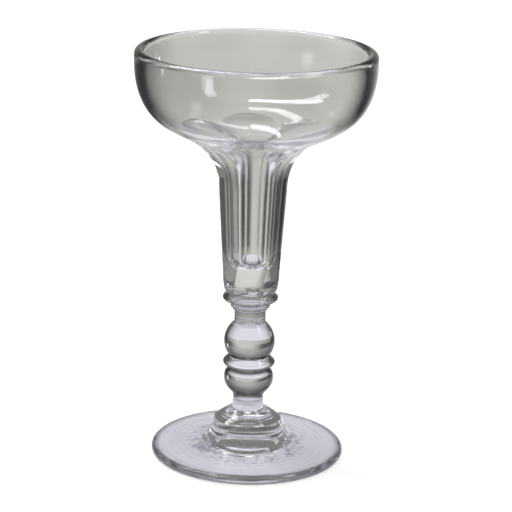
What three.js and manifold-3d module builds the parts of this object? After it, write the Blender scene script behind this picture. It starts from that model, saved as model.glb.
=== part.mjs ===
// Champagne coupe of blown glass: a wide shallow bowl that runs down into a hollow, flat-cut stem, carried by a
// merese, three knops and a spreading foot. Every piece is one gather of glass, joined to the next across a flat
// round face. Millimetres, +Z up, with the origin on the table under the middle of the foot.

import * as THREE from 'three';
import { mergeVertices } from 'three/addons/utils/BufferGeometryUtils.js';
import Module from 'manifold-3d';

const wasm = await Module();
wasm.setup();

// Foot disc: the spun foot, its domed middle and the ground mark under it
const FOOT_RADIUS = 37.5;
const FOOT_EDGE = 3.4;
const FOOT_DOME_RADIUS = 21;
const FOOT_DOME_FOOT = 5.6;
const FOOT_DISC_HEIGHT = 14.2;
const FOOT_JOINT_RADIUS = 13;
const REST_RING_OUTER = 35.6;
const REST_RING_INNER = 31;
const UNDERSIDE_RISE = 1.4;
const PONTIL_RADIUS = 8.5;
const PONTIL_DEPTH = 0.9;

// Foot cone: the flare between the lower neck and the foot
const FOOT_CONE_HEIGHT = 8.6;
const LOWER_NECK_RADIUS = 5.9;
const LOWER_NECK_LENGTH = 2.6;

// Baluster knop
const BALUSTER_HEIGHT = 11.4;
const BALUSTER_RADIUS = 9.65;
const BALUSTER_BELLY_DROP = 3.5;

// Blade knop
const BLADE_HEIGHT = 5.8;
const BLADE_RADIUS = 10.1;
const BLADE_NOSE = 1.15;
const BLADE_SEAT_RADIUS = 7.9;

// Ball knop
const BALL_HEIGHT = 12.6;
const BALL_RADIUS = 9.9;
const BALL_CENTRE = 5.3;
const BALL_LOWER_SEMI_AXIS = 9;
const BALL_UPPER_SEMI_AXIS = 10.2;

// Collar: the stepped ring and the upper neck
const COLLAR_HEIGHT = 8.6;
const UPPER_NECK_RADIUS = 6.05;
const UPPER_NECK_FOOT = 1.3;
const COLLAR_RING_RADIUS = 7.65;
const COLLAR_RING_HALF = 0.75;
const COLLAR_STEP_RADIUS = 6.75;
const COLLAR_STEP_HALF = 0.5;

// Merese: the thin disc under the stem
const MERESE_HEIGHT = 4.2;
const MERESE_RADIUS = 10.7;
const MERESE_EDGE_HALF = 0.95;
const MERESE_EDGE_CENTRE = 2.1;
const MERESE_SEAT_RADIUS = 7.2;

// Bowl and hollow stem
const BOWL_HEIGHT = 94.6;
const RIM_RADIUS = 45.7;
const BOWL_WALL = 4.1;
const SHOULDER_WALL = 3.2;
const BELLY_DROP = 4.5;
const BOWL_SHOULDER_RADIUS = 34.3;
const BOWL_SHOULDER_DROP = 28.6;
const BOWL_SHOULDER_SLOPE = 1.5;
const BOWL_FULLNESS = 0.65;
const STEM_SEAT_RADIUS = 9.2;
const STEM_BLANK_RADIUS = 13.1;
const STEM_BASE_RADIUS = 10.85;
const STEM_BASE_HEIGHT = 7.8;
const BORE_END_HEIGHT = 9.4;
const BORE_END_RADIUS = 5.6;
const BORE_TOP_RADIUS = 6.6;
const FUNNEL_LENGTH = 30;
const FUNNEL_THROAT = 21;
const FUNNEL_MOUTH_REACH = 12;
const FUNNEL_MOUTH_DROP = 6.4;
const STEM_FLARE_START = 14;
const STEM_FLARE_REACH = 11.1;
const STEM_FLARE_SLOPE = 2.2;
const STEM_FLARE_SPREAD = 1.2;

// Flat-cut flutes round the stem
const FLUTE_COUNT = 6;
const FLUTE_APOTHEM = 11.2;
const FLUTE_FLARE_RADIUS = 24;
const FLUTE_ARCH_DROP = 2.2;
const FLUTE_TIP_HEIGHT = 1.7;
const FLUTE_FULL_HEIGHT = 11;
const FLUTE_POINT_POWER = 1.5;

// How far the block that cuts a flute reaches past the glass, and how it clears the tip of the flute
const CUTTER_MARGIN = 3;
const CUTTER_TIP_DROP = 0.2;
const CUTTER_TIP_GAP = 0.02;

// Heights over the merese that follow from the sizes above
const SHOULDER_HEIGHT = BOWL_HEIGHT - BOWL_SHOULDER_DROP;
const BELLY_HEIGHT = BOWL_HEIGHT - BELLY_DROP;
const BORE_TOP_HEIGHT = SHOULDER_HEIGHT - FUNNEL_LENGTH;
const FLUTE_FLARE_HEIGHT = SHOULDER_HEIGHT - FLUTE_ARCH_DROP - FLUTE_FLARE_RADIUS;

// Fineness of the turned surfaces
const BOWL_SEGMENTS = 64;
const FOOT_SEGMENTS = 52;
const KNOP_SEGMENTS = 36;
const FLARE_STEPS = 12;

// The joint faces, one above the other, from the foot up
const FOOT_JOINT = FOOT_DISC_HEIGHT;
const NECK_JOINT = FOOT_JOINT + FOOT_CONE_HEIGHT;
const BALUSTER_JOINT = NECK_JOINT + BALUSTER_HEIGHT;
const BLADE_JOINT = BALUSTER_JOINT + BLADE_HEIGHT;
const BALL_JOINT = BLADE_JOINT + BALL_HEIGHT;
const COLLAR_JOINT = BALL_JOINT + COLLAR_HEIGHT;
const MERESE_JOINT = COLLAR_JOINT + MERESE_HEIGHT;

// One clear lead glass throughout: pale grey, very smooth
function glass() {
  return new THREE.MeshStandardMaterial({ color: 0xb4b6ae, roughness: 0.05, metalness: 0 });
}

// Turns a section, drawn as radius and height from the axis round to the axis again, into a round solid
function turned(section, segments) {
  const geometry = new THREE.LatheGeometry(section, segments);
  geometry.rotateX(Math.PI / 2);
  return closed(geometry);
}

// Merges a geometry's shared points so that its faces meet, and drops the slivers left at the axis
function closed(geometry) {
  geometry.deleteAttribute('normal');
  geometry.deleteAttribute('uv');
  const merged = mergeVertices(geometry, 1e-4);
  const faces = [];
  const index = merged.index;
  for (let i = 0; i < index.count; i += 3) {
    const a = index.getX(i);
    const b = index.getX(i + 1);
    const c = index.getX(i + 2);
    if (a !== b && b !== c && c !== a) {
      faces.push(a, b, c);
    }
  }
  merged.setIndex(faces);
  return merged;
}

// A closed geometry as a solid that can be cut
function toSolid(geometry) {
  const vertProperties = new Float32Array(geometry.attributes.position.array);
  const triVerts = new Uint32Array(geometry.index.array);
  return new wasm.Manifold(new wasm.Mesh({ numProp: 3, vertProperties, triVerts }));
}

// A cut solid as a geometry again
function toGeometry(solid) {
  const mesh = solid.getMesh();
  const geometry = new THREE.BufferGeometry();
  const places = [];
  for (let i = 0; i < mesh.vertProperties.length; i += mesh.numProp) {
    places.push(mesh.vertProperties[i], mesh.vertProperties[i + 1], mesh.vertProperties[i + 2]);
  }
  geometry.setAttribute('position', new THREE.Float32BufferAttribute(places, 3));
  geometry.setIndex(Array.from(mesh.triVerts));
  return geometry;
}

// Points along a cubic curve from one place to another, with a handle at each end, the first place left out
function curve(from, fromHandle, toHandle, to, steps) {
  const bezier = new THREE.CubicBezierCurve(point(from), point(fromHandle), point(toHandle), point(to));
  return bezier.getPoints(steps).slice(1);
}

// Points of an elliptical arc round a centre, angles in degrees from the outward direction, both ends kept
function arc(centreRadius, centreHeight, across, along, fromDegrees, toDegrees, steps) {
  const points = [];
  for (let i = 0; i <= steps; i += 1) {
    const angle = THREE.MathUtils.degToRad(fromDegrees + ((toDegrees - fromDegrees) * i) / steps);
    points.push(point([centreRadius + across * Math.cos(angle), centreHeight + along * Math.sin(angle)]));
  }
  return points;
}

function point(pair) {
  return new THREE.Vector2(pair[0], pair[1]);
}

// The foot: rest ring, slightly hollow underside with its ground pontil mark, rounded edge and domed top
function footDiscSection() {
  const edgeHalf = FOOT_EDGE / 2;
  const edgeCentre = FOOT_RADIUS - edgeHalf;
  const pontilTop = UNDERSIDE_RISE + PONTIL_DEPTH;
  const underside = [
    point([0, pontilTop]),
    ...curve([0, pontilTop], [PONTIL_RADIUS / 2, pontilTop], [PONTIL_RADIUS * 0.8, pontilTop - 0.3],
      [PONTIL_RADIUS, UNDERSIDE_RISE], 4),
    ...curve([PONTIL_RADIUS, UNDERSIDE_RISE], [REST_RING_INNER * 0.6, UNDERSIDE_RISE],
      [REST_RING_INNER * 0.85, 0.25], [REST_RING_INNER, 0], 4),
    point([REST_RING_OUTER, 0]),
  ];
  const edge = arc(edgeCentre, edgeHalf, edgeHalf, edgeHalf, -50, 80, 5);
  const top = curve([edgeCentre + 0.3, FOOT_EDGE], [FOOT_RADIUS * 0.8, FOOT_EDGE + 0.5],
    [FOOT_DOME_RADIUS + 4, FOOT_DOME_FOOT - 0.8], [FOOT_DOME_RADIUS, FOOT_DOME_FOOT], 4);
  const dome = curve([FOOT_DOME_RADIUS, FOOT_DOME_FOOT], [FOOT_DOME_RADIUS - 3.2, FOOT_DOME_FOOT + 1.2],
    [FOOT_JOINT_RADIUS + 2.6, FOOT_DISC_HEIGHT - 2.6], [FOOT_JOINT_RADIUS, FOOT_DISC_HEIGHT], 5);
  return [...underside, ...edge, ...top, ...dome, point([0, FOOT_DISC_HEIGHT])];
}

// The flare: wide at the foot, drawn in to the lower neck
function footConeSection() {
  const neckFoot = FOOT_CONE_HEIGHT - LOWER_NECK_LENGTH;
  const flare = curve([FOOT_JOINT_RADIUS, 0], [FOOT_JOINT_RADIUS - 4, 3.1],
    [LOWER_NECK_RADIUS + 0.3, neckFoot - 2.2], [LOWER_NECK_RADIUS, neckFoot], 9);
  return [
    point([0, 0]),
    point([FOOT_JOINT_RADIUS, 0]),
    ...flare,
    point([LOWER_NECK_RADIUS, FOOT_CONE_HEIGHT]),
    point([0, FOOT_CONE_HEIGHT]),
  ];
}

// The baluster: full near the top and tapering down to the lower neck
function balusterSection() {
  const belly = BALUSTER_HEIGHT - BALUSTER_BELLY_DROP;
  const taper = curve([LOWER_NECK_RADIUS, 0], [LOWER_NECK_RADIUS + 0.1, 3],
    [BALUSTER_RADIUS, belly - 4.4], [BALUSTER_RADIUS, belly], 9);
  const shoulder = curve([BALUSTER_RADIUS, belly], [BALUSTER_RADIUS, belly + 1.9],
    [BLADE_SEAT_RADIUS + 1.2, BALUSTER_HEIGHT - 0.5], [BLADE_SEAT_RADIUS, BALUSTER_HEIGHT], 5);
  return [
    point([0, 0]),
    point([LOWER_NECK_RADIUS, 0]),
    ...taper,
    ...shoulder,
    point([0, BALUSTER_HEIGHT]),
  ];
}

// The blade: a ring with a rounded nose and sloping sides
function bladeSection() {
  const middle = BLADE_HEIGHT / 2;
  const nose = arc(BLADE_RADIUS - BLADE_NOSE, middle, BLADE_NOSE, BLADE_NOSE, -65, 65, 8);
  return [
    point([0, 0]),
    point([BLADE_SEAT_RADIUS, 0]),
    ...nose,
    point([ballRadiusAt(0), BLADE_HEIGHT]),
    point([0, BLADE_HEIGHT]),
  ];
}

// The radius of the ball at a height above its lower joint
function ballRadiusAt(height) {
  const semiAxis = height < BALL_CENTRE ? BALL_LOWER_SEMI_AXIS : BALL_UPPER_SEMI_AXIS;
  const share = (height - BALL_CENTRE) / semiAxis;
  return BALL_RADIUS * Math.sqrt(1 - share * share);
}

// The ball: two half ellipses, cut flat where it joins the blade and the collar
function ballSection() {
  const lowest = THREE.MathUtils.radToDeg(Math.asin(-BALL_CENTRE / BALL_LOWER_SEMI_AXIS));
  const highest = THREE.MathUtils.radToDeg(Math.asin((BALL_HEIGHT - BALL_CENTRE) / BALL_UPPER_SEMI_AXIS));
  const lower = arc(0, BALL_CENTRE, BALL_RADIUS, BALL_LOWER_SEMI_AXIS, lowest, 0, 6);
  const upper = arc(0, BALL_CENTRE, BALL_RADIUS, BALL_UPPER_SEMI_AXIS, 0, highest, 7).slice(1);
  return [point([0, 0]), ...lower, ...upper, point([0, BALL_HEIGHT])];
}

// The collar: a neck that rises from the ball to a small step and a larger ring
function collarSection() {
  const seat = ballRadiusAt(BALL_HEIGHT);
  const ringCentre = COLLAR_HEIGHT - COLLAR_RING_HALF - 0.35;
  const stepCentre = ringCentre - COLLAR_RING_HALF - COLLAR_STEP_HALF - 0.1;
  const neckTop = stepCentre - COLLAR_STEP_HALF - 0.2;
  const ring = arc(COLLAR_RING_RADIUS - 0.5, ringCentre, 0.5, COLLAR_RING_HALF, -70, 70, 5);
  const step = arc(COLLAR_STEP_RADIUS - 0.4, stepCentre, 0.4, COLLAR_STEP_HALF, -70, 70, 3);
  return [
    point([0, 0]),
    point([seat, 0]),
    ...curve([seat, 0], [seat - 0.5, 0.5], [UPPER_NECK_RADIUS, 0.6], [UPPER_NECK_RADIUS, UPPER_NECK_FOOT], 3),
    point([UPPER_NECK_RADIUS, neckTop]),
    ...step,
    ...ring,
    point([MERESE_SEAT_RADIUS, COLLAR_HEIGHT]),
    point([0, COLLAR_HEIGHT]),
  ];
}

// The merese: a thin disc with a rounded edge that slopes up to the stem
function mereseSection() {
  const edge = arc(MERESE_RADIUS - MERESE_EDGE_HALF, MERESE_EDGE_CENTRE, MERESE_EDGE_HALF, MERESE_EDGE_HALF,
    -75, 75, 8);
  return [
    point([0, 0]),
    point([MERESE_SEAT_RADIUS, 0]),
    point([MERESE_RADIUS - 1.5 * MERESE_EDGE_HALF, MERESE_EDGE_CENTRE - MERESE_EDGE_HALF]),
    ...edge,
    point([STEM_SEAT_RADIUS, MERESE_HEIGHT]),
    point([0, MERESE_HEIGHT]),
  ];
}

// The radius of the round stem below the flutes, at a height above the merese
function stemBaseRadius(height) {
  const share = Math.min(height / STEM_BASE_HEIGHT, 1);
  const swell = Math.sqrt(1 - (1 - share) * (1 - share));
  return STEM_SEAT_RADIUS + (STEM_BASE_RADIUS - STEM_SEAT_RADIUS) * swell;
}

// The outside of the bowl and stem before cutting, from the merese up to the lip
function blankOutside() {
  const shoulder = [BOWL_SHOULDER_RADIUS, SHOULDER_HEIGHT];
  const belly = [RIM_RADIUS, BELLY_HEIGHT];
  const corner = [RIM_RADIUS, SHOULDER_HEIGHT + (RIM_RADIUS - BOWL_SHOULDER_RADIUS) / BOWL_SHOULDER_SLOPE];
  const flareFoot = [STEM_BLANK_RADIUS, FLUTE_FLARE_HEIGHT];
  const flareHandle = [STEM_BLANK_RADIUS + STEM_FLARE_SPREAD, SHOULDER_HEIGHT - STEM_FLARE_START];
  const shoulderHandle = [
    BOWL_SHOULDER_RADIUS - STEM_FLARE_REACH,
    SHOULDER_HEIGHT - STEM_FLARE_REACH / STEM_FLARE_SLOPE,
  ];
  const base = [];
  for (let i = 0; i <= 5; i += 1) {
    const height = (STEM_BASE_HEIGHT * i) / 5;
    base.push(point([stemBaseRadius(height), height]));
  }
  return [
    ...base,
    point(flareFoot),
    ...curve(flareFoot, flareHandle, shoulderHandle, shoulder, 7),
    ...curve(shoulder, toward(shoulder, corner, BOWL_FULLNESS), toward(belly, corner, BOWL_FULLNESS), belly, 8),
  ];
}

// A place part of the way from one place toward another
function toward(from, to, share) {
  return [from[0] + (to[0] - from[0]) * share, from[1] + (to[1] - from[1]) * share];
}

// The inside: down the bowl, through the funnel and along the bore to its round end on the axis
function bowlInside() {
  const slopeLength = Math.hypot(BOWL_SHOULDER_SLOPE, 1);
  const belly = [RIM_RADIUS - BOWL_WALL, BELLY_HEIGHT];
  const shoulder = [
    BOWL_SHOULDER_RADIUS - SHOULDER_WALL / slopeLength,
    SHOULDER_HEIGHT + (SHOULDER_WALL * BOWL_SHOULDER_SLOPE) / slopeLength,
  ];
  const corner = [belly[0], shoulder[1] + (belly[0] - shoulder[0]) / BOWL_SHOULDER_SLOPE];
  const mouthHandle = [shoulder[0] - FUNNEL_MOUTH_REACH, shoulder[1] - FUNNEL_MOUTH_DROP];
  const throatHandle = [BORE_TOP_RADIUS, BORE_TOP_HEIGHT + FUNNEL_THROAT];
  return [
    ...curve(belly, toward(belly, corner, BOWL_FULLNESS), toward(shoulder, corner, BOWL_FULLNESS), shoulder, 7),
    ...curve(shoulder, mouthHandle, throatHandle, [BORE_TOP_RADIUS, BORE_TOP_HEIGHT], 10),
    ...arc(0, BORE_END_HEIGHT + BORE_END_RADIUS, BORE_END_RADIUS, BORE_END_RADIUS, 0, -90, 4),
  ];
}

// The rounded lip between the outside and the inside
function lip() {
  const half = BOWL_WALL / 2;
  return arc(RIM_RADIUS - half, BOWL_HEIGHT - half, half, half, 0, 180, 7);
}

// The radius of the stem before cutting, at a height above the merese and below the flare
function stemBlankRadius(height) {
  const rise = (height - STEM_BASE_HEIGHT) / (FLUTE_FLARE_HEIGHT - STEM_BASE_HEIGHT);
  return stemBaseRadius(height) + (STEM_BLANK_RADIUS - STEM_BASE_RADIUS) * Math.max(rise, 0);
}

// The line that the cutting wheel follows, as radius and height, from the pointed foot of a flute to its arch
function fluteLine() {
  const half = Math.PI / FLUTE_COUNT;
  const fullRadius = stemBlankRadius(FLUTE_FULL_HEIGHT);
  const line = [];
  for (let i = 0; i < 8; i += 1) {
    const share = i / 8;
    const height = FLUTE_TIP_HEIGHT + (FLUTE_FULL_HEIGHT - FLUTE_TIP_HEIGHT) * share;
    const halfWidth = fullRadius * Math.sin(half) * (1 - Math.pow(1 - share, FLUTE_POINT_POWER));
    const round = stemBlankRadius(height);
    line.push(point([Math.sqrt(round * round - halfWidth * halfWidth), height]));
  }
  line.push(point([fullRadius * Math.cos(half), FLUTE_FULL_HEIGHT]));
  const flare = arc(FLUTE_APOTHEM + FLUTE_FLARE_RADIUS, FLUTE_FLARE_HEIGHT, -FLUTE_FLARE_RADIUS,
    FLUTE_FLARE_RADIUS, 0, 90, FLARE_STEPS);
  return [...line, ...flare];
}

// One cut: everything beyond the wheel's line, wide enough to reach across the stem
function fluteCutter(index) {
  const line = fluteLine();
  const outside = FLUTE_APOTHEM + FLUTE_FLARE_RADIUS + CUTTER_MARGIN;
  const first = line[0];
  const last = line[line.length - 1];
  const outline = new THREE.Shape([
    point([outside, first.y - CUTTER_TIP_DROP]),
    point([first.x + CUTTER_TIP_GAP, first.y - CUTTER_TIP_DROP]),
    ...line,
    point([outside, last.y]),
  ].reverse());
  const width = 2 * RIM_RADIUS;
  const geometry = new THREE.ExtrudeGeometry(outline, { depth: width, bevelEnabled: false });
  geometry.translate(0, 0, -width / 2);
  geometry.rotateX(Math.PI / 2);
  geometry.rotateZ(-Math.PI / 2 + (index * 2 * Math.PI) / FLUTE_COUNT);
  return toSolid(closed(geometry));
}

// The bowl and its hollow stem, with the flutes cut round it
function bowlGeometry() {
  const section = [point([0, 0]), ...blankOutside(), ...lip(), ...bowlInside()];
  let solid = toSolid(turned(section, BOWL_SEGMENTS));
  for (let index = 0; index < FLUTE_COUNT; index += 1) {
    solid = solid.subtract(fluteCutter(index));
  }
  return toGeometry(solid);
}

// A named piece standing on the joint face at the given height
function piece(name, geometry, height) {
  const mesh = new THREE.Mesh(geometry, glass());
  mesh.name = name;
  mesh.position.z = height;
  return mesh;
}

const coupe = new THREE.Group();
coupe.add(piece('foot_disc', turned(footDiscSection(), FOOT_SEGMENTS), 0));
coupe.add(piece('foot_cone', turned(footConeSection(), KNOP_SEGMENTS), FOOT_JOINT));
coupe.add(piece('baluster_knop', turned(balusterSection(), KNOP_SEGMENTS), NECK_JOINT));
coupe.add(piece('blade_knop', turned(bladeSection(), KNOP_SEGMENTS), BALUSTER_JOINT));
coupe.add(piece('ball_knop', turned(ballSection(), KNOP_SEGMENTS), BLADE_JOINT));
coupe.add(piece('collar', turned(collarSection(), KNOP_SEGMENTS), BALL_JOINT));
coupe.add(piece('merese', turned(mereseSection(), KNOP_SEGMENTS), COLLAR_JOINT));
coupe.add(piece('bowl', bowlGeometry(), MERESE_JOINT));

export default coupe;
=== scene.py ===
from math import asin, cos, degrees, pi, radians, sin, sqrt

import bpy
from bpy.props import FloatProperty, FloatVectorProperty, IntProperty, PointerProperty
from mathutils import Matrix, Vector
from mathutils.geometry import interpolate_bezier


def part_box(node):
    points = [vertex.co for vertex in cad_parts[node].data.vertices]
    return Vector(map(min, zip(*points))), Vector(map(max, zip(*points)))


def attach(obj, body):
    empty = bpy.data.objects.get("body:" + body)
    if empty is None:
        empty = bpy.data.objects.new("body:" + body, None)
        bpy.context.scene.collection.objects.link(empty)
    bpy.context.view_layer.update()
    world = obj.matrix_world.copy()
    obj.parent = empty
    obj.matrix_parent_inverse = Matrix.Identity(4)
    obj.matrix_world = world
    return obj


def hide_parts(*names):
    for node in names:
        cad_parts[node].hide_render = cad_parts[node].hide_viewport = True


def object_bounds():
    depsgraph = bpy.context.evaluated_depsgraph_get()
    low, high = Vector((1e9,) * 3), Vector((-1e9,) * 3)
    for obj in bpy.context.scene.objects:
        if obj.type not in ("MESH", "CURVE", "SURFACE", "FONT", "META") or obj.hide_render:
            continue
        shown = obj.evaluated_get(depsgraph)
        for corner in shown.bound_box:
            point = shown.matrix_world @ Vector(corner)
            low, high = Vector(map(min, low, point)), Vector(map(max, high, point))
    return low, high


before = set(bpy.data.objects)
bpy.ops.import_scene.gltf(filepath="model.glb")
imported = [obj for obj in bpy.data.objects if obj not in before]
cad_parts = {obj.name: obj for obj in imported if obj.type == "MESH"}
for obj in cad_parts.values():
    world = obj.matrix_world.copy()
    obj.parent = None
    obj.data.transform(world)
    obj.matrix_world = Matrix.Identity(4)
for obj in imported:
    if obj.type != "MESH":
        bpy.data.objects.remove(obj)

bl_info = {
    "name": "Champagne Coupe",
    "version": (1, 0, 0),
    "blender": (4, 5, 0),
    "location": "3D View > Sidebar > Coupe",
    "description": "Blown and flat-cut champagne coupe with a hollow stem, and a plain studio to show it in",
    "category": "Add Mesh",
}

MM = 0.001
CAD_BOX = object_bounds()
LIP_HEIGHT = CAD_BOX[1][2]
TOP = {name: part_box(name)[1].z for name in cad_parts}
WIDEST = {name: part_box(name)[1].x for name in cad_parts}

# Steps round the axis, how close points are to be merged, and the least angle of a sharp edge
TURNED_STEPS = 160
BOWL_STEPS = 192
MERGE_DISTANCE = 0.001 * MM
SHARP_EDGE = radians(12)

# The slope at which the bowl's side leaves the shoulder, how full its curve is, and steps up the stem's base
SHOULDER_SLOPE = 1.8
SIDE_FULLNESS = 0.65
BASE_STEPS = 26

# A joint face is at least this level and lies this close to the joint's height
LEVEL = 0.999
JOINT_REACH = 0.01 * MM

# Material slots on a piece
OUTER_GLASS = 0
SEAM = 1
INNER_GLASS = 2

# Texture scales: the higher, the closer the pattern
BLOWN_WAVES = 90
KNOP_WAVES = 140
DISC_WAVES = 110
DISC_RINGS = 120
CONE_WAVES = 160
CONE_RINGS = 280
STREAK_SCALE = 260
PATCH_SCALE = 500

# Stage: the floor and the gap under the glass, where the lamps point and their colour, and the camera
FLOOR_SIZE = 8
FLOOR_GAP = 0.02 * MM
LAMP_AIM = Vector((0, 0, 0.12))
LAMP_COLOUR = (0.95, 0.95, 1.0)
SENSOR_WIDTH = 36
CLIP_END = 100

# How many surfaces a ray may pass or bounce from, enough for light to get through the whole stem
GLASS_BOUNCES = 32
GLOSSY_BOUNCES = 16

# Place, width and height in metres, turn about its own axis in degrees, and share of the window power
WINDOWS = {
    "roof_window": ((-0.35, 0.39, 1.15), (0.95, 0.17), -51, 1.1),
    "side_window": ((0.80, -0.25, 1.20), (0.20, 0.96), -43, 0.5),
    "low_window": ((-1.20, -0.65, 0.25), (0.30, 0.35), 0, 0.11),
    "back_window": ((1.00, 0.68, 0.10), (0.07, 0.20), 0, 0.05),
}


# Properties


def length(name, description, default):
    """A size property in metres."""
    return FloatProperty(name=name, description=description, default=default, min=0, unit="LENGTH",
                         precision=5)


def angle(name, description, default):
    """An angle property, with its default in degrees."""
    return FloatProperty(name=name, description=description, default=radians(default), subtype="ANGLE")


def colour(name, description, default):
    """A colour property."""
    return FloatVectorProperty(name=name, description=description, default=default, size=3, min=0, max=1,
                               subtype="COLOR")


class CoupeBowlSizes(bpy.types.PropertyGroup):
    """Sizes of the bowl and its hollow stem"""

    rim_radius: length("Rim Radius", "Outer radius of the bowl at its widest", 45.7 * MM)
    wall: length("Wall", "Thickness of the bowl's wall at the lip", 4.1 * MM)
    shoulder_wall: length("Shoulder Wall", "Thickness of the wall where the flutes run out", 2.8 * MM)
    belly_drop: length("Belly Drop", "From the lip down to the widest place", 4.5 * MM)
    shoulder_radius: length("Shoulder Radius", "Outer radius where the flutes run out", 34.3 * MM)
    shoulder_drop: length("Shoulder Drop", "From the lip down to the shoulder", 28.6 * MM)
    seat_radius: length("Seat Radius", "Radius of the stem where it sits on the merese", 9.2 * MM)
    stem_radius: length("Stem Radius", "Radius of the round stem at the top of its base", 10.85 * MM)
    base_height: length("Base Height", "Height over which the stem swells out from its seat", 7.8 * MM)
    blank_radius: length("Blank Radius", "Radius of the uncut stem where it begins to flare", 13.1 * MM)
    bore_end: length("Bore End", "From the merese up to the round end of the hollow", 9.4 * MM)
    bore_foot_radius: length("Bore Foot Radius", "Radius of the hollow at its round end", 7.2 * MM)
    bore_top_radius: length("Bore Top Radius", "Radius of the hollow where the funnel ends", 8.4 * MM)
    funnel_drop: length("Funnel Drop", "From the shoulder down to where the funnel ends", 21 * MM)
    flutes: IntProperty(name="Flutes", description="Flat cuts round the stem", default=6, min=3, max=16)
    flute_apothem: length("Flute Apothem", "From the axis to the flat of a flute", 11.2 * MM)
    flute_flare: length("Flute Flare", "Height over which a flute runs out under the bowl", 26.2 * MM)
    crown_radius: length("Crown Radius", "Radius where the wheel leaves the glass over an arch", 30 * MM)
    crown_drop: length("Crown Drop", "From the shoulder down to the top of an arch", 2.3 * MM)
    flute_tip: length("Flute Tip", "From the merese up to the point of a flute", 1.7 * MM)
    flute_full: length("Flute Full", "From the merese up to where a flute has its full width", 16 * MM)


class CoupeKnopSizes(bpy.types.PropertyGroup):
    """Sizes of the merese, the collar and the three knops"""

    merese_radius: length("Merese Radius", "Outer radius of the thin disc under the stem", WIDEST["merese"])
    merese_edge: length("Merese Edge", "Thickness of its rounded edge", 1.9 * MM)
    merese_seat: length("Merese Seat", "Radius where the merese sits on the collar", 7.2 * MM)
    collar_radius: length("Collar Radius", "Outer radius of the ring under the merese", 7.65 * MM)
    upper_neck_radius: length("Upper Neck Radius", "Radius of the neck over the ball", 6.05 * MM)
    ball_radius: length("Ball Radius", "Radius of the ball at its widest", WIDEST["ball_knop"])
    blade_radius: length("Blade Radius", "Outer radius of the bladed ring", WIDEST["blade_knop"])
    blade_seat: length("Blade Seat", "Radius where the blade stands on the baluster", 7.9 * MM)
    baluster_radius: length("Baluster Radius", "Radius of the baluster at its belly", WIDEST["baluster_knop"])
    lower_neck_radius: length("Lower Neck Radius", "Radius of the neck under the baluster", 5.9 * MM)


class CoupeFootSizes(bpy.types.PropertyGroup):
    """Sizes of the foot"""

    radius: length("Foot Radius", "Outer radius of the foot", WIDEST["foot_disc"])
    edge: length("Edge", "Thickness of the foot at its rounded edge", 3.4 * MM)
    dome_radius: length("Dome Radius", "Radius where the dome of the foot begins", 17.8 * MM)
    pontil_radius: length("Pontil Radius", "Radius of the ground mark under the foot", 8.5 * MM)


class CoupeGlassLook(bpy.types.PropertyGroup):
    """Colour and surface of the glass, with the painted shade at its edges, necks and foot"""

    bowl_tint: colour("Bowl Tint", "Light that the wall of the bowl lets through", (0.87, 0.87, 0.86))
    # Painted shade: the colour the bowl deepens to at its sides, partly a longer path and partly standing in
    # for the dim room there
    bowl_edge_shade_tint: colour("Bowl Edge Tint", "Light left after a long path in the bowl", (0.12, 0.12, 0.12))
    knop_tint: colour("Knop Tint", "Light that a knop lets through", (0.76, 0.76, 0.76))
    # Painted shade: a neck's tint is set deep to stand in for the dim room that a narrow neck shows
    neck_shade_tint: colour("Neck Tint", "Light that a neck lets through", (0.44, 0.44, 0.44))
    foot_tint: colour("Foot Tint", "Light that the foot lets through", (0.92, 0.92, 0.93))
    # Painted shade: the colour knops, necks and the cone deepen to at their outlines, partly a longer path
    # and partly standing in for the dim room there
    edge_shade_tint: colour("Edge Tint", "Light left after a long path in a knop, neck or cone", (0.01, 0.01, 0.01))
    # Painted shade: the foot's rolled edge is darkened to stand in for the dark that it shows
    rim_shade_tint: colour("Foot Edge Tint", "Light that the foot's rolled edge lets through", (0.36, 0.36, 0.38))
    # Painted shade: dark streaks round the foot of the dome, standing in for the dark that the glass bends
    # into view there
    streak_shade_tint: colour("Streak Tint", "Light that the worn streaks round the dome let through",
                        (0.34, 0.34, 0.40))
    ior: FloatProperty(name="IOR", description="How strongly the glass bends light", default=1.54, min=1,
                       max=2)
    waviness: length("Waviness", "Height of the slow waves of hand-worked glass", 0.05 * MM)
    turning: length("Turning Marks", "Height of the turning rings in the foot", 0.02 * MM)
    ridge_round: length("Ridge Round", "How far polishing softens the ridges between the flutes", 0.45 * MM)


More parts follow.
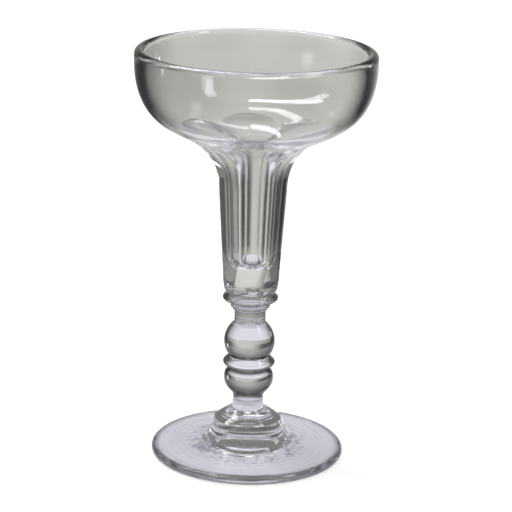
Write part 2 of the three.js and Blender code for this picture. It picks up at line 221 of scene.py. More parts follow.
class CoupeStudio(bpy.types.PropertyGroup):
    """Floor, lights and camera"""

    floor_colour: colour("Floor Colour", "Colour of the floor", (0.86, 0.86, 0.86))
    room_colour: colour("Room Colour", "Colour of the dim room over the table", (0.20, 0.20, 0.19))
    table_colour: colour("Table Colour", "Colour of the near floor as glass shows it", (0.74, 0.74, 0.81))
    wall_colour: colour("Wall Colour", "Colour of the far floor and the walls as glass shows them",
                        (0.56, 0.565, 0.535))
    gap_colour: colour("Gap Colour", "Colour of the gaps between panels along the floor", (0.06, 0.06, 0.06))
    high_gap_colour: colour("High Gap Colour", "Colour of the gaps between panels higher up",
                            (0.36, 0.36, 0.34))
    panels: IntProperty(name="Panels", description="Pale wall panels round the room", default=4, min=1)
    panel_turn: angle("Panel Turn", "From straight behind the glass round to the first panel", 7.5)
    table_radius: length("Table Radius", "How far the near floor reaches round the glass", 150 * MM)
    top_up: FloatProperty(name="Top Up", description="Light that brings the floor up to white where it shows",
                          default=0.68, min=0, max=1)
    window_power: FloatProperty(name="Window Power", description="Power of the main soft light", default=6,
                                min=0, unit="POWER")
    camera_distance: length("Camera Distance", "From the camera to the axis, along the table", 767.64 * MM)
    camera_height: length("Camera Height", "From the table up to the camera", 307.42 * MM)
    camera_side: angle("Camera Side", "How far the camera stands round from the front", -5.6)
    camera_pitch: angle("Camera Pitch", "How far the camera looks down", 16.53)
    camera_roll: angle("Camera Roll", "How far the camera leans", 1.442)
    camera_shift: FloatProperty(name="Camera Shift", description="How far the picture is moved to the side",
                                default=0.00873)
    focal_length: FloatProperty(name="Focal Length", description="Focal length of the camera", default=146.77,
                                min=1, unit="CAMERA")


# Drawing and turning


def curve(start, start_handle, end_handle, end, steps):
    """Places along a cubic curve, as radius and height, without the first."""
    knots = [Vector(place) for place in (start, start_handle, end_handle, end)]
    return [(place.x, place.y) for place in interpolate_bezier(*knots, steps + 1)[1:]]


def arc(centre, across, along, first, last, steps):
    """Places on an elliptical arc, as radius and height, angles in degrees from the outward direction."""
    places = []
    for step in range(steps + 1):
        turn = radians(first + (last - first) * step / steps)
        places.append((centre[0] + across * cos(turn), centre[1] + along * sin(turn)))
    return places


def toward(start, end, share):
    """A place part of the way from one place toward another."""
    return (start[0] + (end[0] - start[0]) * share, start[1] + (end[1] - start[1]) * share)


def lifted(section, height):
    """A section moved up from its joint to its place on the glass."""
    return [(radius, place + height) for radius, place in section]


def start_point(name, place):
    """Adds a mesh that is one vertex at a place, and leaves it in edit mode."""
    bpy.ops.object.select_all(action="DESELECT")
    bpy.ops.mesh.primitive_plane_add(size=MM, location=(0, 0, 0))
    piece = bpy.context.active_object
    piece.name = name
    piece.data.name = name
    bpy.ops.object.mode_set(mode="EDIT")
    bpy.ops.mesh.select_all(action="SELECT")
    bpy.ops.mesh.merge(type="CENTER")
    bpy.ops.transform.translate(value=place)
    return piece


def draw_line(name, section):
    """Draws a section in the XZ plane by extruding a vertex from place to place."""
    places = [Vector((radius, 0, height)) for radius, height in section]
    piece = start_point(name, places[0])
    for before, after in zip(places, places[1:]):
        bpy.ops.mesh.extrude_vertices_move(TRANSFORM_OT_translate={"value": after - before})
    return piece


def turn_solid(name, section, steps):
    """Spins a section, which starts and ends on the axis, into a closed solid of revolution."""
    piece = draw_line(name, section)
    bpy.ops.mesh.select_all(action="SELECT")
    bpy.ops.mesh.spin(steps=steps, angle=2 * pi, center=(0, 0, 0), axis=(0, 0, 1))
    bpy.ops.mesh.select_all(action="SELECT")
    bpy.ops.mesh.remove_doubles(threshold=MERGE_DISTANCE)
    bpy.ops.mesh.normals_make_consistent(inside=False)
    bpy.ops.object.mode_set(mode="OBJECT")
    return piece


def pick(piece):
    """Selects one piece alone and makes it the active one."""
    bpy.ops.object.select_all(action="DESELECT")
    piece.select_set(True)
    bpy.context.view_layer.objects.active = piece


def finish_glass(piece, material, nodes, joints):
    """Smooths a piece, gives it its glass, melts its joints into its neighbours, and puts it on the frame."""
    pick(piece)
    bpy.ops.object.shade_smooth_by_angle(angle=SHARP_EDGE)
    piece.data.materials.clear()
    piece.data.materials.append(material)
    piece.data.materials.append(melted_seam())
    for face in piece.data.polygons:
        level = abs(face.normal.z) > LEVEL
        at_joint = any(abs(face.center.z - height) < JOINT_REACH for height in joints)
        face.material_index = SEAM if level and at_joint else OUTER_GLASS
    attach(piece, "root")
    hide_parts(*nodes)


# Material nodes


def new_material(name):
    """An empty node material and its tree."""
    material = bpy.data.materials.new(name)
    material.use_nodes = True
    tree = material.node_tree
    tree.nodes.clear()
    return material, tree


def show_surface(tree, shader):
    """Makes a shader the surface of its material."""
    output = tree.nodes.new("ShaderNodeOutputMaterial")
    tree.links.new(shader.outputs["BSDF"], output.inputs["Surface"])


def set_socket(tree, socket, value):
    """Links another node's output to a socket, or sets the socket to a plain number or colour."""
    if isinstance(value, bpy.types.NodeSocket):
        tree.links.new(value, socket)
    elif socket.type == "RGBA":
        socket.default_value = (*value, 1)
    else:
        socket.default_value = value


def calculate(tree, operation, *values):
    """One step of arithmetic on numbers and node outputs."""
    step = tree.nodes.new("ShaderNodeMath")
    step.operation = operation
    for socket, value in zip(step.inputs, values):
        set_socket(tree, socket, value)
    return step.outputs["Value"]


def blend_colours(tree, first, second, factor):
    """A mix of two colours, each a plain colour or a node's output."""
    mixed = tree.nodes.new("ShaderNodeMix")
    mixed.data_type = "RGBA"
    set_socket(tree, mixed.inputs["A"], first)
    set_socket(tree, mixed.inputs["B"], second)
    tree.links.new(factor, mixed.inputs["Factor"])
    return mixed.outputs["Result"]


def step_up(tree, value, low, high):
    """Rises smoothly from 0 at the low value to 1 at the high one."""
    step = tree.nodes.new("ShaderNodeMapRange")
    step.interpolation_type = "SMOOTHSTEP"
    step.inputs["From Min"].default_value = low
    step.inputs["From Max"].default_value = high
    tree.links.new(value, step.inputs["Value"])
    return step.outputs["Result"]


def step_down(tree, value, low, high):
    """Falls smoothly from 1 at the low value to 0 at the high one."""
    return calculate(tree, "SUBTRACT", 1, step_up(tree, value, low, high))


def place_on_object(tree):
    """Where a point lies on the object, in metres."""
    return tree.nodes.new("ShaderNodeTexCoord").outputs["Object"]


def split_place(tree, place):
    """The three coordinates of a place, by the names X, Y and Z."""
    split = tree.nodes.new("ShaderNodeSeparateXYZ")
    tree.links.new(place, split.inputs["Vector"])
    return split.outputs


def radius_of(tree, place):
    """Distance from the upright axis."""
    level = tree.nodes.new("ShaderNodeVectorMath")
    level.operation = "MULTIPLY"
    level.inputs[1].default_value = (1, 1, 0)
    tree.links.new(place, level.inputs[0])
    radius = tree.nodes.new("ShaderNodeVectorMath")
    radius.operation = "LENGTH"
    tree.links.new(level.outputs["Vector"], radius.inputs[0])
    return radius.outputs["Value"]


def noise(tree, place, scale, detail, roughness=0.5, distortion=0):
    """A noise pattern: how close it is, how many finer layers it has, how strong they are and how twisted."""
    pattern = tree.nodes.new("ShaderNodeTexNoise")
    pattern.inputs["Scale"].default_value = scale
    pattern.inputs["Detail"].default_value = detail
    pattern.inputs["Roughness"].default_value = roughness
    pattern.inputs["Distortion"].default_value = distortion
    tree.links.new(place, pattern.inputs["Vector"])
    return pattern.outputs["Fac"]


def turning_rings(tree, place, scale):
    """Rings round the axis, a little uneven, as a tool leaves them in turning glass."""
    rings = tree.nodes.new("ShaderNodeTexWave")
    rings.wave_type = "RINGS"
    rings.rings_direction = "Z"
    rings.inputs["Scale"].default_value = scale
    rings.inputs["Distortion"].default_value = 1.2
    rings.inputs["Detail"].default_value = 1
    tree.links.new(place, rings.inputs["Vector"])
    return rings.outputs["Fac"]


def soft_edges(tree, radius):
    """The surface with its sharp edges shown as if they were rounded."""
    rounded = tree.nodes.new("ShaderNodeBevel")
    rounded.samples = 4
    rounded.inputs["Radius"].default_value = radius
    return rounded.outputs["Normal"]


def raised(tree, pattern, height, surface=None):
    """A surface that a pattern raises by up to a height."""
    bump = tree.nodes.new("ShaderNodeBump")
    bump.inputs["Strength"].default_value = 1
    bump.inputs["Distance"].default_value = height
    tree.links.new(pattern, bump.inputs["Height"])
    if surface is not None:
        tree.links.new(surface, bump.inputs["Normal"])
    return bump.outputs["Normal"]


# Glass


def melted_seam():
    """Where two gathers were fused there is no surface left, so light goes straight through."""
    material = bpy.data.materials.get("melted_seam")
    if material is None:
        material, tree = new_material("melted_seam")
        show_surface(tree, tree.nodes.new("ShaderNodeBsdfTransparent"))
    return material


def with_painted_edge_shade(tree, tint, edge_shade_tint, first, last):
    """The colour of the glass, deeper where light runs along the surface: partly the longer path through the
    glass, and partly painted shade for the dim room that the glass shows there.

    It deepens from the first slant to the last, where 0 is straight on and 1 is along the surface.
    """
    slant = tree.nodes.new("ShaderNodeLayerWeight")
    slant.inputs["Blend"].default_value = 0.5
    return blend_colours(tree, tint, edge_shade_tint, step_up(tree, slant.outputs["Facing"], first, last))


def bowl_colour(tree, look):
    """Painted shade: deeper at the sides of the bowl and more so at the sides of the thick stem, but not on
    the flare.
    """
    height = split_place(tree, place_on_object(tree))["Z"]
    base = TOP["merese"]
    on_flare = step_up(tree, height, base + 44.6 * MM, base + 56.6 * MM)
    on_bowl = step_up(tree, height, base + 65.6 * MM, base + 72.6 * MM)
    # Painted edge shade on the stem and on the bowl, none on the flare between them
    stem = with_painted_edge_shade(tree, look.bowl_tint, look.bowl_edge_shade_tint, first=0.13, last=0.6)
    bowl = with_painted_edge_shade(tree, look.bowl_tint, look.bowl_edge_shade_tint, first=0.38, last=0.68)
    flare = blend_colours(tree, stem, look.bowl_tint, on_flare)
    return blend_colours(tree, flare, bowl, on_bowl)


def inside_colour(tree, look):
    """The same all over, because the outside of the wall already carries the painted shade at its sides."""
    return look.bowl_tint


def knop_colour(tree, look):
    """Painted shade: deeper round the outline of a solid knop, partly for the longer path through it."""
    return with_painted_edge_shade(tree, look.knop_tint, look.edge_shade_tint, first=0.1, last=0.58)


def neck_colour(tree, look):
    """Painted shade: deep all over, standing in for the dim parts of a room that a narrow neck shows, and
    deeper still at its sides.
    """
    return with_painted_edge_shade(tree, look.neck_shade_tint, look.edge_shade_tint, first=0.25, last=0.75)


def cone_colour(tree, look):
    """Painted shade: deeper toward the neck over it, and a little at the sides of the flare."""
    height = split_place(tree, place_on_object(tree))["Z"]
    # Painted shade between the cone and the neck over it
    near_neck = step_up(tree, height, TOP["foot_cone"] - 4 * MM, TOP["foot_cone"] - 1 * MM)
    tint = blend_colours(tree, look.foot_tint, look.neck_shade_tint, near_neck)
    return with_painted_edge_shade(tree, tint, look.edge_shade_tint, first=0.5, last=1)


def disc_colour(tree, look):
    """Painted shade: deeper toward the rolled edge of the foot, standing in for the dark that the edge shows,
    and streaks of painted shade where the dome meets the disc.
    """
    place = place_on_object(tree)
    radius = radius_of(tree, place)
    # Painted shade in dark streaks round the foot of the dome
    streaks = noise(tree, place, STREAK_SCALE, detail=4, distortion=1.2)
    streaked = step_up(tree, streaks, 0.5, 0.62)
    from_dome = step_up(tree, radius, 16 * MM, 18 * MM)
    near_dome = step_down(tree, radius, 20.5 * MM, 24.5 * MM)
    on_ring = calculate(tree, "MULTIPLY", from_dome, near_dome)
    shaded = calculate(tree, "MULTIPLY", streaked, on_ring)
    # Painted shade toward the rolled edge
    at_edge = step_up(tree, radius, 33.6 * MM, 36.8 * MM)
    tint = blend_colours(tree, look.foot_tint, look.streak_shade_tint, shaded)
    return blend_colours(tree, tint, look.rim_shade_tint, at_edge)


def ground_mark(tree, place, mark_radius):
    """Roughness of the mark under the foot, where the stub of the iron was ground away in patches."""
    blur = 0.5 * MM
    inside = step_down(tree, radius_of(tree, place), mark_radius - blur, mark_radius + blur)
    rough = tree.nodes.new("ShaderNodeMapRange")
    rough.inputs["From Min"].default_value = 0.4
    rough.inputs["From Max"].default_value = 0.7
    rough.inputs["To Min"].default_value = 0.02
    rough.inputs["To Max"].default_value = 0.4
    tree.links.new(noise(tree, place, PATCH_SCALE, detail=4), rough.inputs["Value"])
    return calculate(tree, "MULTIPLY", rough.outputs["Result"], inside)


def glass(name, look, coloured, wave_scale, ring_scale=0, edge_round=0, ground_radius=0):
    """Hand-worked glass: a clear smooth body with slow waves, and turning rings where a tool ran round it."""
    material, tree = new_material(name)
    place = place_on_object(tree)
    surface = soft_edges(tree, edge_round) if edge_round else None
    surface = raised(tree, noise(tree, place, wave_scale, detail=1, roughness=0.4), look.waviness, surface)
    if ring_scale:
        surface = raised(tree, turning_rings(tree, place, ring_scale), look.turning, surface)
    body = tree.nodes.new("ShaderNodeBsdfPrincipled")
    set_socket(tree, body.inputs["Base Color"], coloured(tree, look))
    roughness = ground_mark(tree, place, ground_radius) if ground_radius else 0
    set_socket(tree, body.inputs["Roughness"], roughness)
    body.inputs["IOR"].default_value = look.ior
    body.inputs["Transmission Weight"].default_value = 1
    tree.links.new(surface, body.inputs["Normal"])
    show_surface(tree, body)
    return material


# Floor and room


def ray_kinds(tree):
    """Two values: 1 for rays from the camera, and 1 for rays that metal and glass send on."""
    path = tree.nodes.new("ShaderNodeLightPath").outputs
    sent_on = calculate(tree, "MAXIMUM", path["Is Glossy Ray"], path["Is Transmission Ray"])
    return path["Is Camera Ray"], sent_on


def wall_panels(tree, place, studio, gap_colour):
    """The room's walls as glass shows them: pale panels all round, with darker gaps between them."""
    split = split_place(tree, place)
    round_about = calculate(tree, "ARCTAN2", split["X"], split["Y"])
    turned = calculate(tree, "ADD", round_about, studio.camera_side - studio.panel_turn)
    # The swing is 1 in the middle of a panel and -1 in the middle of a gap
    swing = calculate(tree, "COSINE", calculate(tree, "MULTIPLY", turned, studio.panels))
    on_panel = step_up(tree, swing, -0.8, 0.9)
    return blend_colours(tree, gap_colour, studio.wall_colour, on_panel)


def floor_material(studio):
    """Pale matt floor, topped up to white where it is seen. Glass also shows where the table ends."""
    material, tree = new_material("pale_floor")
    camera, sent_on = ray_kinds(tree)
    place = place_on_object(tree)
    distance = radius_of(tree, place)
    blur = 12 * MM
    gaps_start = studio.table_radius + 60 * MM
    gaps_full = studio.table_radius + 150 * MM
    past_table = step_up(tree, distance, studio.table_radius - blur, studio.table_radius + blur)
    far_off = step_up(tree, distance, gaps_start, gaps_full)
    gap_colour = blend_colours(tree, studio.high_gap_colour, studio.gap_colour, far_off)
    walls = wall_panels(tree, place, studio, gap_colour)
    shown = blend_colours(tree, studio.table_colour, walls, past_table)
    seen = calculate(tree, "MAXIMUM", camera, sent_on)
    body = tree.nodes.new("ShaderNodeBsdfPrincipled")
    body.inputs["Roughness"].default_value = 1
    body.inputs["Specular IOR Level"].default_value = 0
    tree.links.new(blend_colours(tree, studio.floor_colour, shown, sent_on), body.inputs["Base Color"])
    tree.links.new(blend_colours(tree, (1, 1, 1), shown, sent_on), body.inputs["Emission Color"])
    tree.links.new(calculate(tree, "MULTIPLY", seen, studio.top_up), body.inputs["Emission Strength"])
    show_surface(tree, body)
    return material


def room_world(studio):
    """The room: white to the camera, walls with a dim ceiling to glass, and a dim even light to all else."""
    world = bpy.data.worlds.new("room")
    world.use_nodes = True
    tree = world.node_tree
    tree.nodes.clear()
    camera, sent_on = ray_kinds(tree)
    direction = tree.nodes.new("ShaderNodeTexCoord").outputs["Generated"]
    walls = wall_panels(tree, direction, studio, studio.high_gap_colour)
    overhead = step_up(tree, split_place(tree, direction)["Z"], -0.05, 0.45)
    shown = blend_colours(tree, walls, studio.room_colour, overhead)
    to_glass = blend_colours(tree, studio.room_colour, shown, sent_on)
    to_all = blend_colours(tree, to_glass, (1, 1, 1), camera)
    background = tree.nodes.new("ShaderNodeBackground")
    background.inputs["Strength"].default_value = 1
    tree.links.new(to_all, background.inputs["Color"])
    output = tree.nodes.new("ShaderNodeOutputWorld")
    tree.links.new(background.outputs["Background"], output.inputs["Surface"])
    return world


# Sections, from the joint under each piece to the joint over it

# A place whose name ends in side is a handle of a curve


def disc_section(sizes, joint_radius):
    """The foot: rest ring, hollow underside with its ground mark, rounded edge and domed top."""
    hollow = 1.4 * MM
    mark_top = (0, hollow + 2.2 * MM)
    mark_top_side = (sizes.pontil_radius / 2, mark_top[1])
    mark_edge = (sizes.pontil_radius, hollow)
    mark_edge_side = (sizes.pontil_radius * 0.8, mark_top[1] - 0.3 * MM)
    ring_inner = (31 * MM, 0)
    ring_outer = (35.6 * MM, 0)
    hollow_side = (ring_inner[0] * 0.6, hollow)
    ring_side = (ring_inner[0] * 0.85, 0.25 * MM)
    half = sizes.edge / 2
    edge_centre = (sizes.radius - half, half)
    edge_top = (edge_centre[0] + 0.3 * MM, sizes.edge)
    edge_side = (sizes.radius * 0.8, sizes.edge + 0.5 * MM)
    dome_foot = (sizes.dome_radius, 5.4 * MM)
    dome_foot_outside = (dome_foot[0] + 4 * MM, dome_foot[1] - 0.8 * MM)
    dome_foot_inside = (dome_foot[0] - 2.2 * MM, dome_foot[1] + 0.9 * MM)
    dome_top = (joint_radius, TOP["foot_disc"])
    dome_top_side = (dome_top[0] + 1.7 * MM, dome_top[1] - 2.8 * MM)
    return [
        mark_top,
        *curve(mark_top, mark_top_side, mark_edge_side, mark_edge, steps=10),
        *curve(mark_edge, hollow_side, ring_side, ring_inner, steps=16),
        ring_outer,
        *arc(edge_centre, half, half, first=-50, last=80, steps=20),
        *curve(edge_top, edge_side, dome_foot_outside, dome_foot, steps=20),
        *curve(dome_foot, dome_foot_inside, dome_top_side, dome_top, steps=20),
        (0, dome_top[1]),
    ]


def cone_section(joint_radius, neck_radius):
    """The flare between the foot and the lower neck."""
    height = TOP["foot_cone"] - TOP["foot_disc"]
    foot = (joint_radius, 0)
    foot_side = (joint_radius - 4 * MM, 3.1 * MM)
    neck_foot = (neck_radius, height - 2.6 * MM)
    neck_side = (neck_radius + 0.3 * MM, neck_foot[1] - 2.2 * MM)
    return [
        (0, 0),
        foot,
        *curve(foot, foot_side, neck_side, neck_foot, steps=30),
        (neck_radius, height),
        (0, height),
    ]


def baluster_section(sizes, seat_radius):
    """The baluster, full near the top and tapering down to the lower neck."""
    height = TOP["baluster_knop"] - TOP["foot_cone"]
    neck = (sizes.lower_neck_radius, 0)
    neck_side = (neck[0] + 0.1 * MM, 3 * MM)
    belly = (sizes.baluster_radius, height - 3.5 * MM)
    belly_under_side = (belly[0], belly[1] - 4.4 * MM)
    belly_over_side = (belly[0], belly[1] + 1.9 * MM)
    seat = (seat_radius, height)
    seat_side = (seat_radius + 1.2 * MM, height - 0.5 * MM)
    return [
        (0, 0),
        neck,
        *curve(neck, neck_side, belly_under_side, belly, steps=30),
        *curve(belly, belly_over_side, seat_side, seat, steps=18),
        (0, height),
    ]


def blade_section(sizes, lower_seat, upper_seat):
    """The blade: a ring with a rounded nose and sloping sides."""
    height = TOP["blade_knop"] - TOP["baluster_knop"]
    nose = 1.15 * MM
    return [
        (0, 0),
        (lower_seat, 0),
        *arc((sizes.blade_radius - nose, height / 2), nose, nose, first=-65, last=65, steps=24),
        (upper_seat, height),
        (0, height),
    ]


def ball_section(sizes):
    """The ball: two half ellipses, cut flat where it joins the blade and the collar."""
    height = TOP["ball_knop"] - TOP["blade_knop"]
    centre = 5.3 * MM
    lower_half = 9 * MM
    upper_half = 10.2 * MM
    lowest = degrees(asin(-centre / lower_half))
    highest = degrees(asin((height - centre) / upper_half))
    return [
        (0, 0),
        *arc((0, centre), sizes.ball_radius, lower_half, first=lowest, last=0, steps=24),
        *arc((0, centre), sizes.ball_radius, upper_half, first=0, last=highest, steps=28)[1:],
        (0, height),
    ]


def collar_section(sizes, lower_seat, upper_seat):
    """The collar: a neck that rises from the ball to a small step and a larger ring."""
    height = TOP["collar"] - TOP["ball_knop"]
    neck = sizes.upper_neck_radius
    ball_top = (lower_seat, 0)
    ball_top_side = (lower_seat - 0.5 * MM, 0.5 * MM)
    neck_foot = (neck, 1.3 * MM)
    neck_side = (neck, 0.6 * MM)
    ring_nose = 0.5 * MM
    ring_half = 0.75 * MM
    ring_centre = (sizes.collar_radius - ring_nose, height - ring_half - 0.35 * MM)
    step_nose = 0.4 * MM
    step_half = 0.5 * MM
    step_centre = (6.75 * MM - step_nose, ring_centre[1] - ring_half - step_half - 0.1 * MM)
    return [
        (0, 0),
        ball_top,
        *curve(ball_top, ball_top_side, neck_side, neck_foot, steps=12),
        (neck, step_centre[1] - step_half - 0.2 * MM),
        *arc(step_centre, step_nose, step_half, first=-70, last=70, steps=16),
        *arc(ring_centre, ring_nose, ring_half, first=-70, last=70, steps=20),
        (upper_seat, height),
        (0, height),
    ]


def merese_section(sizes, lower_seat, upper_seat):
    """The merese: a thin disc with a rounded edge that slopes up to the stem."""
    height = TOP["merese"] - TOP["collar"]
    half = sizes.merese_edge / 2
    edge_centre = (sizes.merese_radius - half, 2.1 * MM)
    return [
        (0, 0),
        (lower_seat, 0),
        (sizes.merese_radius - 1.5 * half, edge_centre[1] - half),
        *arc(edge_centre, half, half, first=-75, last=75, steps=24),
        (upper_seat, height),
        (0, height),
    ]


def flare_foot_height(sizes, height):
    """Where the straight stem ends and the flutes begin to flare."""
    return height - sizes.shoulder_drop - sizes.flute_flare


def stem_blank_radius(sizes, height, flare_foot):
    """Radius of the round stem before cutting, at a height over the merese and below the flare."""
    share = min(height / sizes.base_height, 1)
    swell = sqrt(1 - (1 - share) ** 2)
    rise = max((height - sizes.base_height) / (flare_foot - sizes.base_height), 0)
    round_base = sizes.seat_radius + (sizes.stem_radius - sizes.seat_radius) * swell
    return round_base + (sizes.blank_radius - sizes.stem_radius) * rise


def bowl_side_handles(shoulder, belly):
    """Handles of the bowl's side at its shoulder and belly, toward the corner where their directions meet."""
    corner = (belly[0], shoulder[1] + (belly[0] - shoulder[0]) / SHOULDER_SLOPE)
    return toward(shoulder, corner, SIDE_FULLNESS), toward(belly, corner, SIDE_FULLNESS)


def bowl_outside(sizes, shoulder, belly, flare_foot):
    """The outside before cutting: the swelling base of the stem, its flare and the side of the bowl."""
    base = []
    for step in range(BASE_STEPS + 1):
        place = sizes.base_height * step / BASE_STEPS
        base.append((stem_blank_radius(sizes, place, flare_foot), place))
    flare_start = (sizes.blank_radius, flare_foot)
    flare_side = (sizes.blank_radius + 1.2 * MM, shoulder[1] - 14 * MM)
    flare_reach = 11.1 * MM
    flare_slope = 1.9
    under_shoulder_side = (shoulder[0] - flare_reach, shoulder[1] - flare_reach / flare_slope)
    shoulder_side, belly_side = bowl_side_handles(shoulder, belly)
    return [
        *base,
        flare_start,
        *curve(flare_start, flare_side, under_shoulder_side, shoulder, steps=30),
        *curve(shoulder, shoulder_side, belly_side, belly, steps=30),
    ]


def bowl_inside(sizes, shoulder, belly):
    """The inside: the side of the bowl, the funnel and the bore down to its round end."""
    across = sqrt(SHOULDER_SLOPE ** 2 + 1)
    inner_belly = (belly[0] - sizes.wall, belly[1])
    inner_shoulder = (shoulder[0] - sizes.shoulder_wall / across,
                      shoulder[1] + sizes.shoulder_wall * SHOULDER_SLOPE / across)
    shoulder_side, belly_side = bowl_side_handles(inner_shoulder, inner_belly)
    mouth_side = (inner_shoulder[0] - 12 * MM, inner_shoulder[1] - 6.4 * MM)
    bore_top = (sizes.bore_top_radius, shoulder[1] - sizes.funnel_drop)
    throat_side = (bore_top[0], bore_top[1] + 13 * MM)
    end_half = 5 * MM
    end_centre = (0, sizes.bore_end + end_half)
    return [
        *curve(inner_belly, belly_side, shoulder_side, inner_shoulder, steps=26),
        *curve(inner_shoulder, mouth_side, throat_side, bore_top, steps=44),
        *arc(end_centre, sizes.bore_foot_radius, end_half, first=0, last=-90, steps=24),
    ]


def bowl_section(sizes, height):
    """The bowl and stem before cutting: outside, rounded lip and inside."""
    shoulder = (sizes.shoulder_radius, height - sizes.shoulder_drop)
    belly = (sizes.rim_radius, height - sizes.belly_drop)
    half = sizes.wall / 2
    return [
        (0, 0),
        *bowl_outside(sizes, shoulder, belly, flare_foot_height(sizes, height)),
        *arc((sizes.rim_radius - half, height - half), half, half, first=0, last=180, steps=32),
        *bowl_inside(sizes, shoulder, belly),
    ]


# Cutting the flutes


def flute_line(sizes, height):
    """The line that the cutting wheel follows, from the pointed foot of a flute to the crown of its arch."""
    flare_foot = flare_foot_height(sizes, height)
    full_radius = stem_blank_radius(sizes, sizes.flute_full, flare_foot)
    tip = (stem_blank_radius(sizes, sizes.flute_tip, flare_foot), sizes.flute_tip)
    full = (full_radius * cos(pi / sizes.flutes), sizes.flute_full)
    flare_start = (sizes.flute_apothem, flare_foot)
    crown = (sizes.crown_radius, height - sizes.shoulder_drop - sizes.crown_drop)
    flare_side = (flare_start[0], crown[1] - 10.7 * MM)
    crown_side = (crown[0] - 13 * MM, crown[1] - 4.2 * MM)
    return [tip, full, flare_start, *curve(flare_start, flare_side, crown_side, crown, steps=60)]


def flute_cutter(sizes, base, height, index):
    """One cut: a block beyond the wheel's line, wide enough to reach across the stem."""
    line = flute_line(sizes, height)
    tip = line[0]
    crown = line[-1]
    outside = sizes.rim_radius
    over_crown = 0.8 * MM
    under_tip = 0.2 * MM
    past_tip = 0.02 * MM
    outline = [
        *line,
        (outside, crown[1] + over_crown),
        (outside, tip[1] - under_tip),
        (tip[0] + past_tip, tip[1] - under_tip),
    ]
    cutter = draw_line(f"flute_cut_{index}", lifted(outline, base))
    width = 2 * sizes.rim_radius
    bpy.ops.mesh.select_all(action="SELECT")
    bpy.ops.mesh.edge_face_add()
    bpy.ops.transform.translate(value=(0, -width / 2, 0))
    bpy.ops.mesh.extrude_region_move(TRANSFORM_OT_translate={"value": (0, width, 0)})
    bpy.ops.mesh.select_all(action="SELECT")
    bpy.ops.mesh.normals_make_consistent(inside=False)
    bpy.ops.object.mode_set(mode="OBJECT")
    cutter.rotation_euler.z = -pi / 2 + 2 * pi * index / sizes.flutes
    bpy.ops.object.transform_apply(location=False, rotation=True, scale=False)
    return cutter


def cut_away(piece, cutter):
    """Cuts one block out of a piece and removes the block."""
    pick(piece)
    cut = piece.modifiers.new("cut", "BOOLEAN")
    cut.operation = "DIFFERENCE"
    cut.solver = "MANIFOLD"
    cut.object = cutter
    bpy.ops.object.modifier_apply(modifier=cut.name)
    bpy.data.objects.remove(cutter)


def line_bowl(piece, inner_glass, shoulder_height):
    """Gives the inside of the bowl, over the shoulder, its own glass."""
    piece.data.materials.append(inner_glass)
    for face in piece.data.polygons:
        inward = face.normal.x * face.center.x + face.normal.y * face.center.y < 0
        if inward and face.center.z > shoulder_height:
            face.material_index = INNER_GLASS


# Operators


class COUPE_OT_make_bowl(bpy.types.Operator):
    """Turn the bowl with its hollow stem, and cut the flutes round it"""

    bl_idname = "coupe.make_bowl"
    bl_label = "Bowl and Stem"

    def execute(self, context):
        sizes = context.scene.coupe_bowl
        look = context.scene.coupe_glass
        base = TOP["merese"]
        height = LIP_HEIGHT - base
        piece = turn_solid("bowl_glass", lifted(bowl_section(sizes, height), base), BOWL_STEPS)
        for index in range(sizes.flutes):
            cut_away(piece, flute_cutter(sizes, base, height, index))
        outer_glass = glass("blown_glass", look, bowl_colour, BLOWN_WAVES, edge_round=look.ridge_round)
        finish_glass(piece, outer_glass, ["bowl"], [base])
        inner_glass = glass("blown_glass_inside", look, inside_colour, BLOWN_WAVES)
        line_bowl(piece, inner_glass, LIP_HEIGHT - sizes.shoulder_drop)
        return {"FINISHED"}


class COUPE_OT_make_knops(bpy.types.Operator):
    """Turn the merese, the collar, the ball, the blade and the baluster"""

    bl_idname = "coupe.make_knops"
    bl_label = "Merese, Collar and Knops"

    def execute(self, context):
        sizes = context.scene.coupe_knops
        look = context.scene.coupe_glass
        stem_seat = context.scene.coupe_bowl.seat_radius
        ball = ball_section(sizes)
        ball_foot = ball[1][0]
        ball_top = ball[-2][0]
        sections = {
            "merese": (merese_section(sizes, sizes.merese_seat, stem_seat), "collar"),
            "collar": (collar_section(sizes, ball_top, sizes.merese_seat), "ball_knop"),
            "ball_knop": (ball, "blade_knop"),
            "blade_knop": (blade_section(sizes, sizes.blade_seat, ball_foot), "baluster_knop"),
            "baluster_knop": (baluster_section(sizes, sizes.blade_seat), "foot_cone"),
        }
        knop = glass("knop_glass", look, knop_colour, KNOP_WAVES)
        neck = glass("neck_glass", look, neck_colour, KNOP_WAVES)
        for node, (section, below) in sections.items():
            base = TOP[below]
            piece = turn_solid(f"{node}_glass", lifted(section, base), TURNED_STEPS)
            # The collar takes the neck glass, with its painted shade
            material = neck if node == "collar" else knop
            finish_glass(piece, material, [node], [base, TOP[node]])
        return {"FINISHED"}


class COUPE_OT_make_foot(bpy.types.Operator):
    """Turn the flare and the disc of the foot"""

    bl_idname = "coupe.make_foot"
    bl_label = "Foot"

    def execute(self, context):
        sizes = context.scene.coupe_foot
        look = context.scene.coupe_glass
        neck = context.scene.coupe_knops.lower_neck_radius
        joint_radius = WIDEST["foot_cone"]
        disc_top = TOP["foot_disc"]
        cone_top = TOP["foot_cone"]
        disc = turn_solid("foot_disc_glass", disc_section(sizes, joint_radius), TURNED_STEPS)
        spun = glass("spun_glass", look, disc_colour, DISC_WAVES, DISC_RINGS,
                     ground_radius=sizes.pontil_radius)
        finish_glass(disc, spun, ["foot_disc"], [disc_top])
        cone = turn_solid("foot_cone_glass", lifted(cone_section(joint_radius, neck), disc_top), TURNED_STEPS)
        drawn = glass("drawn_glass", look, cone_colour, CONE_WAVES, CONE_RINGS)
        finish_glass(cone, drawn, ["foot_cone"], [disc_top, cone_top])
        return {"FINISHED"}


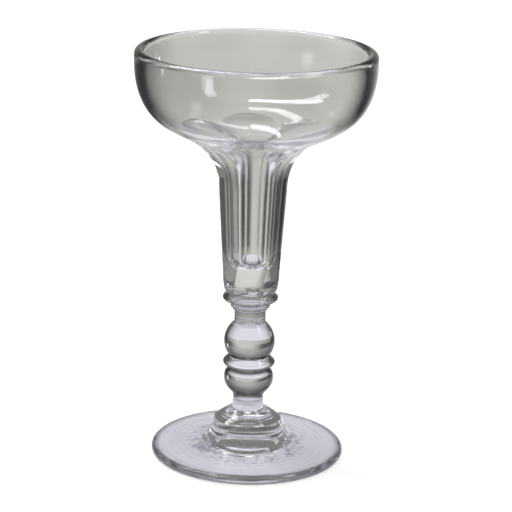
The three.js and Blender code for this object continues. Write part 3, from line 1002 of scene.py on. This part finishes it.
class COUPE_OT_make_studio(bpy.types.Operator):
    """Set up the pale floor, the room, the soft lights and the camera"""

    bl_idname = "coupe.make_studio"
    bl_label = "Studio"

    def execute(self, context):
        studio = context.scene.coupe_studio
        self.lay_floor(studio)
        context.scene.world = room_world(studio)
        for name, (place, size, twist, share) in WINDOWS.items():
            self.hang_light(name, place, size, radians(twist), studio.window_power * share)
        self.set_camera(context, studio)
        self.set_render(context)
        return {"FINISHED"}

    def lay_floor(self, studio):
        """A flat floor just under the glass."""
        bpy.ops.object.select_all(action="DESELECT")
        bpy.ops.mesh.primitive_plane_add(size=FLOOR_SIZE, location=(0, 0, -FLOOR_GAP))
        floor = bpy.context.active_object
        floor.name = "floor"
        floor.data.materials.append(floor_material(studio))

    def hang_light(self, name, place, size, twist, power):
        """A soft window that points at the glass, turned about its own axis."""
        bpy.ops.object.select_all(action="DESELECT")
        bpy.ops.object.light_add(type="AREA", location=place)
        lamp = bpy.context.active_object
        lamp.name = name
        lamp.data.shape = "RECTANGLE"
        lamp.data.size = size[0]
        lamp.data.size_y = size[1]
        lamp.data.energy = power
        lamp.data.color = LAMP_COLOUR
        lamp.visible_camera = False
        toward_glass = LAMP_AIM - Vector(place)
        lamp.rotation_euler = toward_glass.to_track_quat("-Z", "Y").to_euler()
        lamp.rotation_euler.rotate_axis("Z", twist)

    def set_camera(self, context, studio):
        """The camera in front of the glass, a little to its left, looking down at it."""
        side = studio.camera_side
        distance = studio.camera_distance
        place = (sin(side) * distance, -cos(side) * distance, studio.camera_height)
        bpy.ops.object.select_all(action="DESELECT")
        bpy.ops.object.camera_add(location=place)
        camera = bpy.context.active_object
        camera.name = "camera"
        camera.rotation_mode = "XYZ"
        camera.rotation_euler = (pi / 2 - studio.camera_pitch, 0, side)
        camera.rotation_euler.rotate_axis("Z", studio.camera_roll)
        camera.data.lens = studio.focal_length
        camera.data.sensor_width = SENSOR_WIDTH
        camera.data.shift_x = studio.camera_shift
        camera.data.clip_end = CLIP_END
        context.scene.camera = camera

    def set_render(self, context):
        """Plain colours, and enough bounces for the glass."""
        scene = context.scene
        scene.view_settings.view_transform = "Standard"
        scene.cycles.max_bounces = GLASS_BOUNCES
        scene.cycles.transmission_bounces = GLASS_BOUNCES
        scene.cycles.transparent_max_bounces = GLASS_BOUNCES
        scene.cycles.glossy_bounces = GLOSSY_BOUNCES


class COUPE_PT_sidebar(bpy.types.Panel):
    """Buttons and sizes for the coupe"""

    bl_label = "Champagne Coupe"
    bl_space_type = "VIEW_3D"
    bl_region_type = "UI"
    bl_category = "Coupe"

    def draw(self, context):
        layout = self.layout
        for operator in OPERATORS:
            layout.operator(operator.bl_idname)
        for title, group in SETTINGS.items():
            box = layout.box()
            box.label(text=group.__doc__)
            settings = getattr(context.scene, title)
            for name in group.__annotations__:
                box.prop(settings, name)


SETTINGS = {
    "coupe_bowl": CoupeBowlSizes,
    "coupe_knops": CoupeKnopSizes,
    "coupe_foot": CoupeFootSizes,
    "coupe_glass": CoupeGlassLook,
    "coupe_studio": CoupeStudio,
}
OPERATORS = [COUPE_OT_make_foot, COUPE_OT_make_knops, COUPE_OT_make_bowl, COUPE_OT_make_studio]
CLASSES = [*SETTINGS.values(), *OPERATORS, COUPE_PT_sidebar]


def register():
    for cls in CLASSES:
        bpy.utils.register_class(cls)
    for title, group in SETTINGS.items():
        setattr(bpy.types.Scene, title, PointerProperty(type=group))


def unregister():
    for title in SETTINGS:
        delattr(bpy.types.Scene, title)
    for cls in reversed(CLASSES):
        bpy.utils.unregister_class(cls)


def main():
    """Builds the whole scene."""
    register()
    bpy.ops.coupe.make_foot()
    bpy.ops.coupe.make_knops()
    bpy.ops.coupe.make_bowl()
    bpy.ops.coupe.make_studio()


if __name__ == "__main__":
    main()
